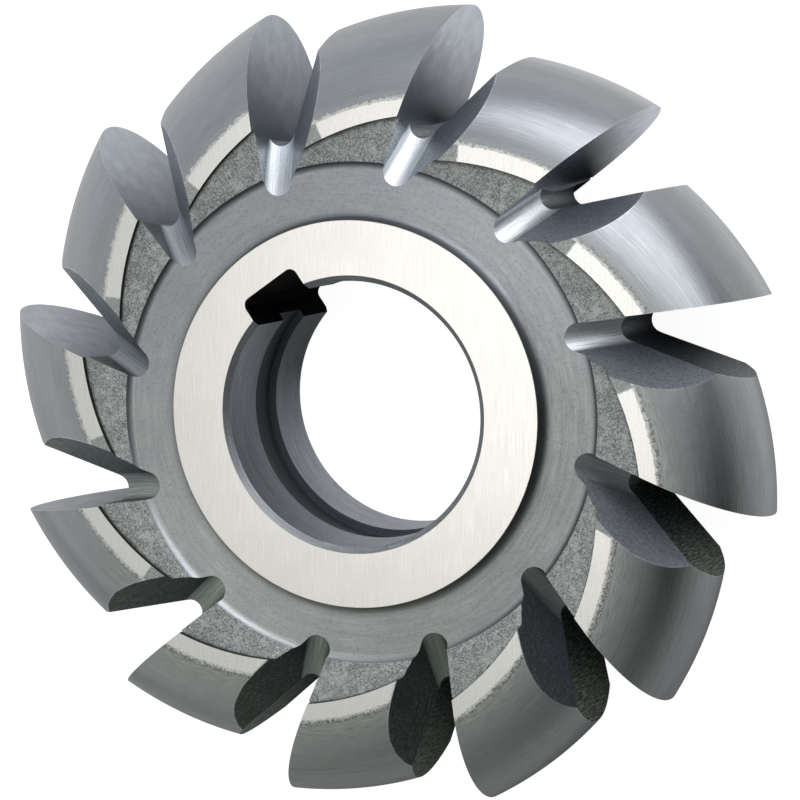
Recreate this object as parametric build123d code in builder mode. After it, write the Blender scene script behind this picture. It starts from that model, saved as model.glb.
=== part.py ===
from build123d import *
import os
from math import asin, cos, degrees, radians, sin, sqrt, tan

# A convex half-circle milling cutter, one piece of tool steel. It lies on its back hub face:
# the origin is the middle of that face, +Z is the axis, and +Y runs through the keyway.
# All sizes are in millimetres and degrees.

# Overall sizes and the form
outside_diameter = 100.0
hub_width = 24.0
form_radius = 12.0
tooth_count = 12
first_rake_angle = 3.0

# Bore and keyway
bore_diameter = 32.0
bore_chamfer = 0.7
relief_diameter = 34.0
relief_width = 6.6
key_width = 8.0
key_across = 34.8
key_corner_radius = 1.0

# Hub, ring groove and rough web on each side; heights are measured from the middle plane
hub_diameter = 46.5
groove_height = 10.3
groove_inner_corner = 1.1
groove_outer_corner = 1.1
web_inner_diameter = 60.3
web_height = 10.85

# Teeth: how far the form falls from one tooth to the next, and the ground flat on each flank
relief_per_pitch = 5.65
flank_height = 11.98
flank_depth = 13.37

# Rake face, offset from the axis, and where its grinding stops above the gullet floor
rake_offset = 7.85
grinding_depth = 0.15
grinding_stop = 33.6
grinding_wheel_radius = 50.0

# Gullet, milled straight through, and the sloping channel milled into it from each side.
# The roots are the floors' distances along the rake face, for the channel at groove height.
gullet_root = 33.2
gullet_opening = 26.6
gullet_root_radius = 1.55
channel_root = 27.25
channel_opening = 24.3
channel_root_radius = 1.7
channel_slope = 30.0
channel_stop = 4.0

# Derived values
tip_radius = outside_diameter / 2
middle = hub_width / 2
pitch = 360 / tooth_count
tip_angle = degrees(asin(rake_offset / tip_radius))
web_reach = web_inner_diameter / 2
web_overlap = 0.6
clear = 2.0
outer_reach = tip_radius + 5 * clear
tooth_start = tip_angle - 2.0
tooth_end = tooth_start + pitch - 0.5


def fallen(angle):
    """How far the relieved form has fallen at a polar angle, as a share of the turn."""
    return relief_per_pitch * (angle - tip_angle) / pitch


def polar(radius, angle):
    """The point at a radius and a polar angle, in the frame of one tooth."""
    return (radius * cos(radians(angle)), radius * sin(radians(angle)))


def step_radius(angle):
    """The radius at which the ground flank steps down to the rough web."""
    return tip_radius - flank_depth - fallen(angle)


# Core: the hub, the ring groove with its round corners, and the rough web, turned in one
wall = hub_diameter / 2
corner_rise = web_height - groove_height
corner_run = sqrt(2 * groove_outer_corner * corner_rise - corner_rise**2)
web_rim = step_radius(tooth_start) + web_overlap

with BuildPart() as core:
    with BuildSketch(Plane.XZ):
        with BuildLine():
            for side in (1, -1):
                hub_z = middle + side * hub_width / 2
                floor_z = middle + side * groove_height
                web_z = middle + side * web_height
                corner_z = floor_z + side * groove_inner_corner
                Polyline((0, middle), (0, hub_z), (wall, hub_z), (wall, corner_z))
                TangentArc(
                    (wall, corner_z), (wall + groove_inner_corner, floor_z), tangent=(0, -side)
                )
                Line((wall + groove_inner_corner, floor_z), (web_reach - corner_run, floor_z))
                TangentArc(
                    (web_reach - corner_run, floor_z), (web_reach, web_z), tangent=(1, 0)
                )
                Polyline((web_reach, web_z), (web_rim, web_z), (web_rim, middle))
        make_face()
    revolve(axis=Axis.Z)

# Tooth: the half-circle form carried round while it falls, then cut to the ground flanks.
# The form is exact on every plane through the axis where a section stands.
section_count = 6
ring_inner = web_reach - 5 * clear
with BuildPart() as tooth:
    for i in range(section_count):
        angle = tooth_start + (tooth_end - tooth_start) * i / (section_count - 1)
        across = polar(1, angle)
        section_plane = Plane(
            origin=(0, 0, middle), x_dir=(*across, 0), z_dir=(across[1], -across[0], 0)
        )
        form_centre = tip_radius - form_radius - fallen(angle)
        with BuildSketch(section_plane):
            with BuildLine():
                ThreePointArc(
                    (form_centre, -form_radius),
                    (form_centre + form_radius, 0),
                    (form_centre, form_radius),
                )
                Polyline(
                    (form_centre, form_radius),
                    (ring_inner, form_radius),
                    (ring_inner, -form_radius),
                    (form_centre, -form_radius),
                )
            make_face()
    loft()
    with BuildSketch(Plane.XY.offset(middle)):
        with BuildLine():
            tooth_middle = (tooth_start + tooth_end) / 2
            ThreePointArc(
                polar(step_radius(tooth_start), tooth_start),
                polar(step_radius(tooth_middle), tooth_middle),
                polar(step_radius(tooth_end), tooth_end),
            )
            Polyline(
                polar(step_radius(tooth_end), tooth_end),
                polar(outer_reach, tooth_end),
                polar(outer_reach, tooth_start),
                polar(step_radius(tooth_start), tooth_start),
            )
        make_face()
    extrude(amount=flank_height, both=True, mode=Mode.INTERSECT)


def wedge(plane, root, opening, root_radius):
    """A gullet's outline: one side along the rake face, one turned back by the opening."""
    half = radians(opening / 2)
    corner = root - root_radius * (1 / sin(half) - 1)
    wall_offset = rake_offset - grinding_depth
    length = outer_reach - corner
    with BuildSketch(plane) as outline:
        with BuildLine():
            Polyline(
                (corner, wall_offset),
                (corner + length, wall_offset),
                (corner + length, wall_offset - length * tan(radians(opening))),
                close=True,
            )
        make_face()
        fillet(outline.vertices().sort_by(Axis.X)[0], root_radius)
    return outline.sketch


# Gullet: everything that is cut away in front of one rake face, which stands along X here
through = hub_width + 2 * clear
gullet_outline = wedge(Plane.XY.offset(-clear), gullet_root, gullet_opening, gullet_root_radius)

# The channel's outline stands above the hub face, so its root lies that much further in
channel_start = hub_width / 2 + clear
channel_run = 1 / tan(radians(channel_slope))
channel_outline = wedge(
    Plane.XY.offset(middle + channel_start),
    channel_root - channel_run * (channel_start - groove_height),
    channel_opening,
    channel_root_radius,
)
channel_length = (channel_start - channel_stop) / sin(radians(channel_slope))

# The wheel that grinds the rake face leaves a shallow arc at the foot of it
wheel_sag = grinding_wheel_radius - sqrt(grinding_wheel_radius**2 - (through / 2) ** 2)
grinding_reach = gullet_root_radius / 2

with BuildPart() as gullet:
    extrude(gullet_outline, amount=through)
    channel = extrude(channel_outline, amount=channel_length, dir=(channel_run, 0, -1))
    mirror(channel, about=Plane.XY.offset(middle))
    with BuildSketch(Plane(origin=(0, rake_offset, middle), x_dir=(1, 0, 0), z_dir=(0, -1, 0))):
        with BuildLine():
            ThreePointArc(
                (grinding_stop + wheel_sag, -through / 2),
                (grinding_stop, 0),
                (grinding_stop + wheel_sag, through / 2),
            )
            Polyline(
                (grinding_stop + wheel_sag, through / 2),
                (outer_reach, through / 2),
                (outer_reach, -through / 2),
                (grinding_stop + wheel_sag, -through / 2),
            )
        make_face()
    extrude(amount=grinding_reach)

# Cutter: core and teeth joined, then the gullets, the bore, its relief and the keyway
with BuildPart() as radius_cutter:
    add(core.part)
    with PolarLocations(0, tooth_count, start_angle=first_rake_angle):
        add(tooth.part)
    with PolarLocations(0, tooth_count, start_angle=first_rake_angle):
        add(gullet.part, mode=Mode.SUBTRACT)
    with Locations((0, 0, middle)):
        Cylinder(bore_diameter / 2, through, mode=Mode.SUBTRACT)
        Cylinder(relief_diameter / 2, relief_width, mode=Mode.SUBTRACT)
    bore_rims = radius_cutter.edges().filter_by(
        lambda edge: edge.geom_type == GeomType.CIRCLE
        and round(edge.radius, 3) == bore_diameter / 2
    )
    chamfer(bore_rims.group_by(Axis.Z)[0] + bore_rims.group_by(Axis.Z)[-1], bore_chamfer)
    with BuildSketch(Plane.XY.offset(-clear)) as key_section:
        key_floor = key_across - bore_diameter / 2
        with Locations((0, key_floor / 2)):
            Rectangle(key_width, key_floor)
        fillet(key_section.vertices().group_by(Axis.Y)[-1], key_corner_radius)
    extrude(amount=through, mode=Mode.SUBTRACT)

os.makedirs("parts", exist_ok=True)
radius_cutter.part.label = "radius_cutter"
export_step(radius_cutter.part, "parts/radius_cutter.step")
print("radius_cutter", radius_cutter.part.volume, radius_cutter.part.bounding_box().size)
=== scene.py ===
# %% [markdown]
# # A convex radius cutter
# This cutter mills a half-round groove. It is one piece of hardened tool steel: a hub with a
# keyed bore, a turned web, and teeth with a half-circle outline. Here it lies on its back hub
# face, with its axis along Z. The lesson follows the workshop: the blank is turned, the
# gullets are milled out of it, and every surface then gets the finish of the tool that made
# it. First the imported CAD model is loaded, because it fixes the place and the size of all
# that follows.

# %% Load the frame
from math import asin, cos, degrees, hypot, pi, radians, sin, tan

import bpy
import numpy as np
from mathutils import Matrix, Vector


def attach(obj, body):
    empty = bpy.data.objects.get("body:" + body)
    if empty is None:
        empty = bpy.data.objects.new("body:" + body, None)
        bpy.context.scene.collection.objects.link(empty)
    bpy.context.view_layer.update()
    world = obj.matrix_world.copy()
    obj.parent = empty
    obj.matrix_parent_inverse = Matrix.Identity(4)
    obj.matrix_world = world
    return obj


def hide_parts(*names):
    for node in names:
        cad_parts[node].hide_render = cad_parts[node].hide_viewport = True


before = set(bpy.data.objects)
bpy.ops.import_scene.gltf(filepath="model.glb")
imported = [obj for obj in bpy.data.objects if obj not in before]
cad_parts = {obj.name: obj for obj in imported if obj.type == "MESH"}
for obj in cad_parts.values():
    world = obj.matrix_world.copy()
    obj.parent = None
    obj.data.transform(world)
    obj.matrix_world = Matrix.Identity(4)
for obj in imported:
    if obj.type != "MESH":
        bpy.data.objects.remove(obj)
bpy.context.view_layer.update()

# %% [markdown]
# The sizes are those of the CAD model. They are written in millimetres, as on a drawing, and
# turned into metres only when a mesh is made. Heights are counted from the middle plane of
# the cutter, because its two sides are alike.

# %% Sizes
MM = 0.001
TEETH = 12
PITCH = 360 / TEETH
FIRST_RAKE = 3.0
MIDDLE = 12.0
TIP = 50.0
FORM = 12.0
RELIEF = 5.65

BORE = 16.0
BORE_CHAMFER = 0.7
BORE_RELIEF = 17.0
BORE_RELIEF_HALF = 3.3
KEY_WIDTH = 8.0
KEY_FLOOR = 18.8
KEY_CORNER = 1.0

HUB = 23.25
HUB_EDGE = 0.05
GROOVE_HEIGHT = 10.3
GROOVE_CORNER = 1.1
WEB_START = 30.15
WEB_HEIGHT = 10.85
WEB_RISE = 0.45
FLANK_HEIGHT = 11.98
FLANK_DEPTH = 13.37

RAKE = 7.85
GRINDING = 0.15
GRINDING_STOP = 33.6
GRINDING_WHEEL = 50.0
# Each mill: how far in its root lies, its opening in degrees and the radius of its root
GULLET = (33.2, 26.6, 1.55)
CHANNEL = (27.25, 24.3, 1.7)
CHANNEL_RUN = 1 / tan(radians(30.0))
CHANNEL_STOP = 4.0
# Tools reach past the steel, to this distance from the axis and from the middle plane
REACH = 62.0
OUTSIDE = 14.0

TIP_ANGLE = degrees(asin(RAKE / TIP))
print("the rake face meets the tip", round(TIP_ANGLE, 2), "degrees past its own direction")

# %% [markdown]
# ## The blank
# On a relieving lathe the form tool feeds in while the blank turns, and jumps back before each
# new tooth. So a tooth is widest at its cutting edge and falls away behind it, and the edge
# keeps its half circle however often it is ground again. The blank is therefore one closed
# outline carried round the axis, and the outer part of the outline sinks with the angle. The
# jump back is hidden in the space that the gullets take away later.

# %% How far the form has fallen
TOOTH_START = 8.0
TURN_BACK = 35.0


def fallen(turn):
    """The fall of the form at an angle from the rake direction, in millimetres.

    In words: the angle is first brought into the pitch that starts at TOOTH_START. The fall
    grows by RELIEF over one pitch, in proportion to the angle past the cutting edge. After
    TURN_BACK it goes back in a straight line to where it began.
    """
    turn = (np.asarray(turn, float) - TOOTH_START) % PITCH + TOOTH_START
    rate = RELIEF / PITCH
    high, low = rate * (TURN_BACK - TIP_ANGLE), rate * (TOOTH_START - TIP_ANGLE)
    back = high + (low - high) * (turn - TURN_BACK) / (TOOTH_START + PITCH - TURN_BACK)
    return np.where(turn > TURN_BACK, back, rate * (turn - TIP_ANGLE))


print("fall just before the next gullet:", round(float(fallen(TURN_BACK)), 2), "mm")

# %% [markdown]
# Every stretch of the outline has the name of its surface. The name travels with the faces,
# through the cuts as well, so later each surface can get its own normals, grain and finish.
# The web rises a little towards the teeth, and the groove meets hub and web in round corners,
# as the turning tool leaves them.

# %% Outline of the blank
SURFACES = (
    "hub_face hub_edge hub_wall inner_corner groove_floor outer_corner web step flank form "
    "bore_chamfer bore_wall relief_side relief_wall wall root heel channel_wall channel_root "
    "channel_heel ground_rake rake_foot outside key_side key_corner key_floor"
).split()
CODE = {name: number for number, name in enumerate(SURFACES)}
FORM_PARTS, ROOT_PARTS, KEY_PARTS = 61, 18, 7
STRIPS = (26.6, 27.9)


def arc(centre, radius, start, end, parts):
    """Points on an arc: centre plus radius times the cosine and sine of evenly spaced angles."""
    angle = np.radians(np.linspace(start, end, parts + 1))
    return np.asarray(centre) + radius * np.column_stack([np.cos(angle), np.sin(angle)])


OUTER_TURN = degrees(np.arccos(1 - (WEB_HEIGHT - GROOVE_HEIGHT) / GROOVE_CORNER))
CORNER_HEIGHT = GROOVE_HEIGHT + GROOVE_CORNER
INNER_CENTRE = (HUB + GROOVE_CORNER, CORNER_HEIGHT)
OUTER_CENTRE = (WEB_START - GROOVE_CORNER * sin(radians(OUTER_TURN)), CORNER_HEIGHT)
FORM_CENTRE = TIP - FORM
STEP = TIP - FLANK_DEPTH
form_arc = arc((FORM_CENTRE, 0), FORM, degrees(asin(FLANK_HEIGHT / FORM)), 0, FORM_PARTS)
flank_radii = np.linspace(STEP, form_arc[0, 0], 5)[1:]

# Each stretch: its surface, its points after the last one (radius, height), whether it sinks
SIDE = [
    ("hub_face", [(HUB - HUB_EDGE, MIDDLE)], 0),
    ("hub_edge", [(HUB, MIDDLE - HUB_EDGE)], 0),
    ("hub_wall", [(HUB, CORNER_HEIGHT)], 0),
    ("inner_corner", arc(INNER_CENTRE, GROOVE_CORNER, 180, 270, 8)[1:], 0),
    ("groove_floor", [(reach, GROOVE_HEIGHT) for reach in (*STRIPS, OUTER_CENTRE[0])], 0),
    ("outer_corner", arc(OUTER_CENTRE, GROOVE_CORNER, 270, 270 + OUTER_TURN, 7)[1:], 0),
    ("web", [(STEP, WEB_HEIGHT + WEB_RISE)], 1),
    ("step", [(STEP, FLANK_HEIGHT)], 1),
    ("flank", [(reach, FLANK_HEIGHT) for reach in flank_radii], 1),
    ("form", form_arc[1:], 1),
]
BORE_SIDE = [
    ("bore_chamfer", (BORE, MIDDLE - BORE_CHAMFER)),
    ("bore_wall", (BORE, BORE_RELIEF_HALF)),
    ("relief_side", (BORE_RELIEF, BORE_RELIEF_HALF)),
    ("relief_wall", (BORE_RELIEF, -BORE_RELIEF_HALF)),
    ("relief_side", (BORE, -BORE_RELIEF_HALF)),
    ("bore_wall", (BORE, BORE_CHAMFER - MIDDLE)),
]


def closed_outline():
    """Points (radius, height, share of the fall) round the whole section, and their surfaces.

    In words: the front side from the bore's rim to the tip, the same points mirrored from
    the tip to the back rim, and then the bore from back to front. The surface of a point is
    that of the stretch from this point to the next one.
    """
    start = (BORE + BORE_CHAMFER, MIDDLE, 0)
    side = [start] + [(p[0], p[1], sinks) for _, points, sinks in SIDE for p in points]
    names = [name for name, points, _ in SIDE for _ in points]
    back = [(radius, -height, sinks) for radius, height, sinks in side[-2::-1]]
    bore = [(radius, -height, 0) for _, (radius, height) in BORE_SIDE]
    bore_names = [name for name, _ in BORE_SIDE] + ["bore_chamfer"]
    return np.array(side + back + bore), names + names[::-1] + bore_names


outline, outline_names = closed_outline()
print("points on the closed outline:", len(outline), "surfaces:", len(set(outline_names)))

# %% [markdown]
# The blank is the outline carried round the axis in steps of one degree. A Screw modifier
# turns outlines too, but it keeps every radius, and here the teeth sink while they turn. So
# numpy works out the whole grid of points at once. Each face keeps its surface and its tooth.

# %% Turn the blank
def grid_faces(rows, columns, bands):
    """The four corners of each cell in a grid whose last row and column join the first."""
    row, column = np.meshgrid(np.arange(bands), np.arange(columns), indexing="ij")
    ahead, beside = (row + 1) % rows * columns, (column + 1) % columns
    row = row * columns
    corners = [row + column, row + beside, ahead + beside, ahead + column]
    return np.stack(corners, axis=-1).reshape(-1, 4).tolist()


def mesh_object(name, points, faces, surfaces, teeth):
    """A new object from points in millimetres, with each face's surface and tooth kept."""
    mesh = bpy.data.meshes.new(name)
    mesh.from_pydata(((points + np.array([0, 0, MIDDLE])) * MM).tolist(), [], faces)
    for label, values in (("surface", surfaces), ("tooth", teeth)):
        kept = mesh.attributes.new(label, "INT", "FACE")
        kept.data.foreach_set("value", np.asarray(values, np.int32))
    piece = bpy.data.objects.new(name, mesh)
    bpy.context.scene.collection.objects.link(piece)
    return piece


def turned_blank(step):
    """The outline carried round: x and y are the sunk radius times the cosine and sine.

    The grid closes on itself both ways, so the blank is a ring with no seam.
    """
    turn = np.arange(0, 360, step)
    radius = outline[None, :, 0] - outline[None, :, 2] * fallen(turn)[:, None]
    angle = np.radians(turn + FIRST_RAKE)[:, None]
    height = np.broadcast_to(outline[None, :, 1], radius.shape)
    points = np.stack([radius * np.cos(angle), radius * np.sin(angle), height], axis=-1)
    faces = grid_faces(len(turn), len(outline), len(turn))
    codes = np.tile([CODE[name] for name in outline_names], len(turn))
    teeth = np.repeat((turn + 0.5 * step - TOOTH_START) // PITCH % TEETH, len(outline))
    return points.reshape(-1, 3), faces, codes, teeth


cutter = mesh_object("radius_cutter_steel", *turned_blank(1.0))
print("faces of the blank:", len(cutter.data.polygons))

# %% [markdown]
# ## The gullets
# A mill cuts each gullet straight through, and a second cut from each side slopes down into
# it, so that chips slide out sideways. Last, a wheel grinds the rake face and leaves a
# shallow arc at its foot. Each tool is a prism: an outline carried along a straight line. A
# Boolean modifier takes the prisms out of the blank, as the mill does.

# %% Prisms that stand for the mills
CELL = 1.2


def prism(plan, names, heights, slides):
    """A closed prism: the outline at each height, moved by the slide of that height.

    In words: sides longer than CELL are first cut into equal parts, so a point is a corner
    plus its share of the way to the next corner. The parts and the heights make a grid, and
    two caps close it. Each part keeps the surface of its side; the caps are left outside.
    """
    plan = np.asarray(plan, float)
    way = np.roll(plan, -1, axis=0) - plan
    parts = np.maximum(1, np.ceil(np.hypot(*way.T) / CELL)).astype(int)
    side_of = np.repeat(np.arange(len(plan)), parts)
    step = np.arange(len(side_of)) - np.repeat(np.cumsum(parts) - parts, parts)
    ring = plan[side_of] + way[side_of] * (step / parts[side_of])[:, None]
    rows, columns = len(heights), len(ring)
    flat_points = (ring[None] + slides[:, None]).reshape(-1, 2)
    points = np.column_stack([flat_points, np.repeat(heights, columns)])
    caps = [list(range(columns))[::-1], list(range((rows - 1) * columns, rows * columns))]
    codes = np.tile(np.array([CODE[name] for name in names])[side_of], rows - 1).tolist()
    return points, grid_faces(rows, columns, rows - 1) + caps, codes + [CODE["outside"]] * 2


def straight(start, end, slide_start=0.0, slide_end=0.0):
    """Heights a CELL apart from start to end, and slides that grow evenly between two values."""
    count = int(np.ceil((end - start) / CELL)) + 1
    slides = np.column_stack([np.linspace(slide_start, slide_end, count), np.zeros(count)])
    return np.linspace(start, end, count), slides


def meeting(root, opening, corner):
    """Where the two sides of a mill would meet if its root weren't round."""
    return root - corner * (1 / sin(radians(opening / 2)) - 1)


def mill_outline(mill, offset):
    """A gullet seen along the axis: a side along the rake face, a round root, a sloped side.

    In words: the sides meet at the opening angle, and the root circle touches both of them.
    Its centre is one corner radius from the rake side, and the corner radius over the tangent
    of half the opening from the point where the sides would meet.
    """
    opening, corner = mill[1:]
    centre = (meeting(*mill) + corner / tan(radians(opening / 2)), offset - corner)
    round_root = arc(centre, corner, 90, 270 - opening, ROOT_PARTS)
    far_side = offset - (REACH - meeting(*mill)) * tan(radians(opening))
    return np.vstack([[[REACH, offset]], round_root, [[REACH, far_side]]]), centre


def all_round(name, *pieces):
    """Copies of prisms in every gullet, turned by one pitch each, as one object."""
    points, faces, codes, teeth, base = [], [], [], [], 0
    for tooth in range(TEETH):
        turn = radians(FIRST_RAKE + PITCH * tooth)
        spin = np.array([[cos(turn), sin(turn), 0], [-sin(turn), cos(turn), 0], [0, 0, 1]])
        for place, corners, surfaces in pieces:
            points.append(place @ spin)
            faces += [[corner + base for corner in face] for face in corners]
            codes += surfaces
            teeth += [tooth] * len(surfaces)
            base += len(place)
    return mesh_object(name, np.vstack(points), faces, codes, teeth)


def take_away(tool):
    """The tool's shape is taken out of the cutter, and the tool is put away."""
    cut = cutter.modifiers.new("cut", "BOOLEAN")
    cut.operation, cut.solver, cut.object = "DIFFERENCE", "MANIFOLD", tool
    graph = bpy.context.evaluated_depsgraph_get()
    mesh = bpy.data.meshes.new_from_object(cutter.evaluated_get(graph), depsgraph=graph)
    cutter.modifiers.clear()
    old = cutter.data
    cutter.data = mesh
    bpy.data.meshes.remove(old)
    bpy.data.objects.remove(tool)
    mesh.name = cutter.name
    print("faces left by the tool:", len(mesh.polygons))


through = straight(-OUTSIDE, OUTSIDE)
print("levels of a cut straight through:", len(through[0]))

# %% [markdown]
# The gullets are cut first, and then the side channels. All twelve copies of a mill are one
# object, so one Boolean cuts them all. The channel's mill slides outwards as it goes down to
# the middle. Its wall stands back by a hair from the gullet's, because a Boolean is in doubt
# where two faces share a plane.

# %% Mill the gullets
HAIR = 0.01
mill_wall = RAKE - GRINDING
gullet_plan, gullet_centre = mill_outline(GULLET, mill_wall)
gullet_names = ["wall"] + ["root"] * ROOT_PARTS + ["heel", "outside"]
gullet_mill = prism(gullet_plan, gullet_names, *through)
take_away(all_round("gullet_mill", gullet_mill))

channel_plan, channel_centre = mill_outline(CHANNEL, mill_wall - HAIR)
channel_names = ["channel_" + name for name in gullet_names[:-1]] + ["outside"]
low_shift = CHANNEL_RUN * (GROOVE_HEIGHT - CHANNEL_STOP)
high_shift = CHANNEL_RUN * (GROOVE_HEIGHT - OUTSIDE)
front = straight(CHANNEL_STOP, OUTSIDE, low_shift, high_shift)
back = straight(-OUTSIDE, -CHANNEL_STOP, high_shift, low_shift)
channel_mills = [prism(channel_plan, channel_names, *way) for way in (front, back)]
take_away(all_round("channel_mill", *channel_mills))

# %% [markdown]
# The grinding wheel takes the last of the steel off each rake face. The arc of its rim comes
# from sliding the prism by the sag of a circle. The keyway is drawn through the bore by a
# broach, with round corners, because a hardened tool would crack from a sharp one.

# %% Grind the rake faces and cut the keyway
def wheel_foot(height):
    """Where grinding stops, along the rake face: the stop plus the sag of the wheel's rim."""
    return GRINDING_STOP + GRINDING_WHEEL - np.sqrt(GRINDING_WHEEL**2 - np.asarray(height) ** 2)


low_side = RAKE - GULLET[2] / 2
wheel_plan = [(GRINDING_STOP, low_side), (REACH, low_side), (REACH, RAKE), (GRINDING_STOP, RAKE)]
wheel_names = ["outside", "outside", "ground_rake", "rake_foot"]
heights, slides = straight(-OUTSIDE, OUTSIDE)
slides[:, 0] = wheel_foot(heights) - GRINDING_STOP
take_away(all_round("rake_wheel", prism(wheel_plan, wheel_names, heights, slides)))

half_key = KEY_WIDTH / 2
key_centre = (half_key - KEY_CORNER, KEY_FLOOR - KEY_CORNER)
right_corner = arc(key_centre, KEY_CORNER, 0, 90, KEY_PARTS)
left_corner = arc((-key_centre[0], key_centre[1]), KEY_CORNER, 90, 180, KEY_PARTS)
key_plan = np.vstack([[[-half_key, 0], [half_key, 0]], right_corner, left_corner])
half_names = ["key_side"] + ["key_corner"] * KEY_PARTS
key_names = ["outside"] + half_names + ["key_floor"] + half_names[::-1]
key_points, key_faces, key_codes = prism(key_plan, key_names, *through)
take_away(mesh_object("key_cutter", key_points, key_faces, key_codes, [0] * len(key_codes)))

# %% [markdown]
# ## Normals and grain
# A polished surface shows the smallest error in its shading. After a cut the faces along an edge
# are long and thin, and normals averaged over them would shade like dents. Each surface here has a
# formula, so its normals are worked out from the formula and set on the corners of the faces. The
# same corners get two maps. The first runs along and across the marks of the tool that made the
# surface, so a material can stretch its grain along them. The second says where on the tooth a
# point lies, for the painted highlights along the edges and the ragged end of a ground band.

# %% Where each corner lies
mesh = cutter.data


def read(collection, field, kind, width=1):
    """All values of one field as an array, with one row for each element."""
    values = np.empty(len(collection) * width, kind)
    collection.foreach_get(field, values)
    return values.reshape(-1, width) if width > 1 else values


face_size = read(mesh.polygons, "loop_total", np.int32)
surface = np.repeat(read(mesh.attributes["surface"].data, "value", np.int32), face_size)
tooth = np.repeat(read(mesh.attributes["tooth"].data, "value", np.int32), face_size)
flat = np.repeat(read(mesh.polygons, "normal", np.float32, 3), face_size, axis=0)
place = read(mesh.vertices, "co", np.float32, 3)[read(mesh.loops, "vertex_index", np.int32)]
x, y, z = (place.astype(float) / MM - (0, 0, MIDDLE)).T
side = np.where(z < 0, -1.0, 1.0)
rake_turn = np.radians(FIRST_RAKE + PITCH * tooth)
along = x * np.cos(rake_turn) + y * np.sin(rake_turn)
across = y * np.cos(rake_turn) - x * np.sin(rake_turn)
radius = np.hypot(x, y)
turn = np.degrees(np.arctan2(across, along))
form_centre = FORM_CENTRE - RELIEF / PITCH * (turn - TIP_ANGLE)
profile = np.arctan2(z, radius - form_centre)


def on(*names):
    """Which corners lie on these surfaces."""
    return np.isin(surface, [CODE[name] for name in names])


print("corners:", len(mesh.loops), "on the form:", int(on("form").sum()))

# %% [markdown]
# On a turned surface the normal leans straight out from the axis or in towards it. On a round
# root it points back to the middle of the mill, and on the form it also leans by the rate at
# which the tooth falls. Blender takes them as custom normals. The print compares them with
# the flat faces: near 1 means that the formula fits.

# %% Exact normals
def lean(ahead, over, upward, way):
    """Parts along a way (its cosine and sine), square to it and up the axis, as x, y and z."""
    cosine, sine = way
    return np.stack([ahead * cosine - over * sine, ahead * sine + over * cosine,
                     upward + 0 * x], axis=-1)


def hollow_ring(centre):
    """On a hollow corner turned round the axis, the normal points to the centre of its arc."""
    return lean(centre[0] - radius, 0, side * (centre[1] - np.abs(z)), out)


out, rake_way = (x / radius, y / radius), (np.cos(rake_turn), np.sin(rake_turn))
slide = CHANNEL_RUN * (GROOVE_HEIGHT - np.abs(z))
root_x, root_y = gullet_centre[0] - along, gullet_centre[1] - across
channel_x, channel_y = channel_centre[0] + slide - along, channel_centre[1] - across
slope = radians(CHANNEL[1])
fall_rate = RELIEF / radians(PITCH)
level = np.cos(profile)
form_radius = form_centre + FORM * level

EXACT = {
    "hub_wall": lean(1, 0, 0, out),
    "inner_corner": hollow_ring(INNER_CENTRE),
    "outer_corner": hollow_ring(OUTER_CENTRE),
    "step": lean(-radius, -fall_rate, 0, out),
    "form": lean(form_radius * level, fall_rate * level, form_radius * np.sin(profile), out),
    "bore_chamfer": lean(-1, 0, side, out),
    "bore_wall": lean(-1, 0, 0, out),
    "relief_wall": lean(-1, 0, 0, out),
    "root": lean(root_x, root_y, 0, rake_way),
    "channel_root": lean(channel_x, channel_y, channel_x * side * CHANNEL_RUN, rake_way),
    "channel_heel": lean(sin(slope), cos(slope), sin(slope) * side * CHANNEL_RUN, rake_way),
}
normals = flat.astype(float)
for name, exact in EXACT.items():
    normals[on(name)] = exact[on(name)]
normals /= np.linalg.norm(normals, axis=1, keepdims=True)
agreement = np.sum(normals * flat, axis=1)
for name in EXACT:
    print(name, "least agreement with the flat faces:", round(float(agreement[on(name)].min()), 3))
mesh.polygons.foreach_set("use_smooth", np.ones(len(mesh.polygons), bool))
mesh.normals_split_custom_set(normals.tolist())

# %% [markdown]
# The first map runs in millimetres along the marks of each tool (u) and across them (v). The
# lathe marks of the form follow the fall of the tooth, so they are straight in this map. The
# wheel that ground a rake face left arcs about its own centre. The mills left lines along
# their cuts, and the hub faces and flanks were ground together, in straight lines. Each tooth
# is shifted on the map, so that no two teeth look the same.

# %% Map of the grain
GRAIN_TURN = radians(54.84)
TOOTH_SHIFT_U, TOOTH_SHIFT_V = 97.0, 31.0
key_turn = np.arctan2(-x, y)
to_wheel = GRINDING_STOP + GRINDING_WHEEL - along
wheel_reach = np.hypot(to_wheel, z)
way_round = np.radians(turn) * TIP
grain = np.stack([x * cos(GRAIN_TURN) + y * sin(GRAIN_TURN),
                  y * cos(GRAIN_TURN) - x * sin(GRAIN_TURN)], axis=-1)


def set_grain(names, u, v, shift=TOOTH_SHIFT_V):
    """The map on these surfaces, with a shift of its own for each tooth."""
    here = on(*names.split())
    grain[here, 0] = (u + TOOTH_SHIFT_U * tooth)[here]
    grain[here, 1] = (v + shift * tooth)[here]


set_grain("form step", way_round, profile * FORM)
set_grain("flank", way_round, form_centre + form_arc[0, 0] - FORM_CENTRE - radius, 0)
set_grain("web", way_round, form_centre + STEP - FORM_CENTRE - radius, 0)
set_grain("ground_rake rake_foot wall channel_wall",
          np.arctan2(z, to_wheel) * GRINDING_WHEEL, wheel_reach)
set_grain("root", z, np.arctan2(-root_y, root_x) * GULLET[2])
set_grain("channel_root", 2 * z, np.arctan2(-channel_y, channel_x) * CHANNEL[2])
set_grain("heel", 2 * z, along)
set_grain("channel_heel", along + 0.6 * z, 2 * z)
set_grain("bore_chamfer bore_wall relief_wall relief_side", key_turn * BORE, z + 0.5 * radius)
set_grain("key_side key_corner key_floor", z, x + y)
print("grain map spans", np.round(np.ptp(grain, axis=0), 1), "mm")

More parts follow.
